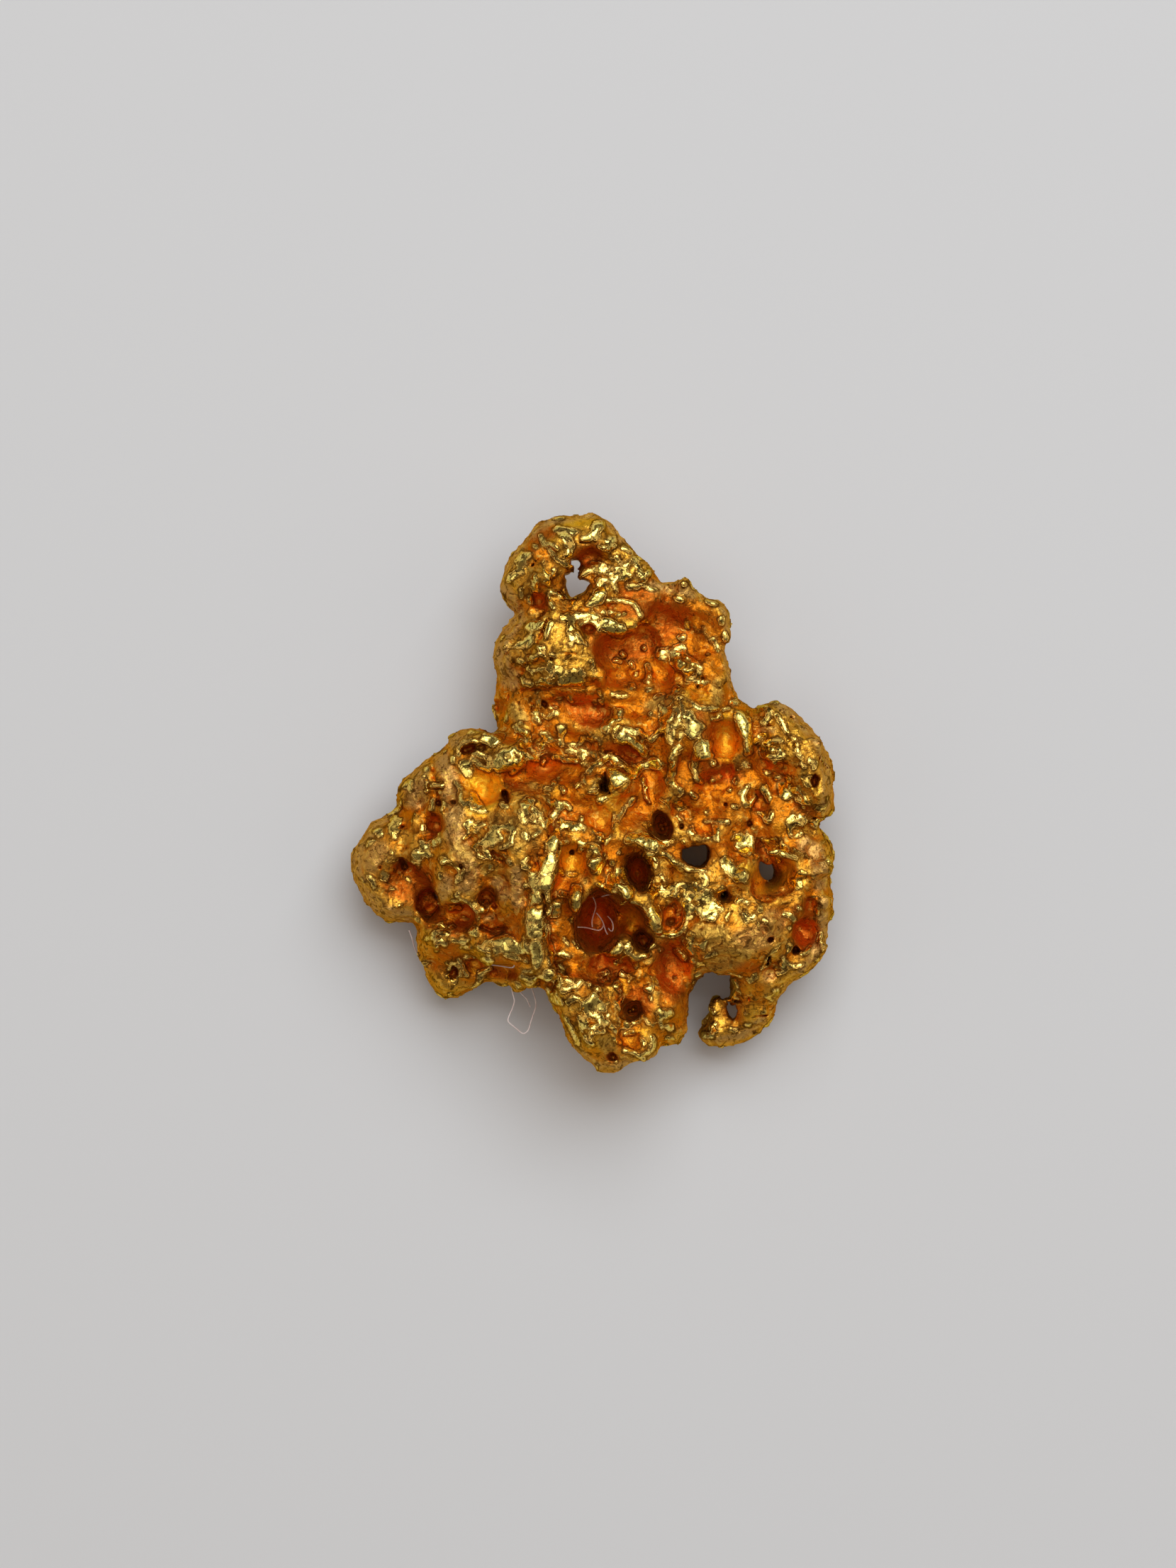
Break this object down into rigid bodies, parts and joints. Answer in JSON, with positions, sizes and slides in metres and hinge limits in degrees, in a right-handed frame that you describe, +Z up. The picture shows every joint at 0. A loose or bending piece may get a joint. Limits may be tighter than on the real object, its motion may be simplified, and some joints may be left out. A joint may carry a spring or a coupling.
{
  "type": "gold nugget",
  "caption": "Spongy natural gold nugget: lobed, flat-bellied lump with pits, ridges, through-holes and a small hook, lying on a few worn flats.",
  "frame": {"origin": "below the middle of the nugget's box, on the surface it lies on", "axes": "+Y towards the narrow crown lobe, +X towards the right wall with the hook, +Z up, away from the surface it lies on"},
  "size_m": [0.0152, 0.0174, 0.006],
  "materials": {
    "native_gold": "bright to satin natural gold, polished on its crests and deep orange in its hollows"
  },
  "bodies": {
    "root": {"gold_nugget": "native_gold"}
  },
  "joints": []
}
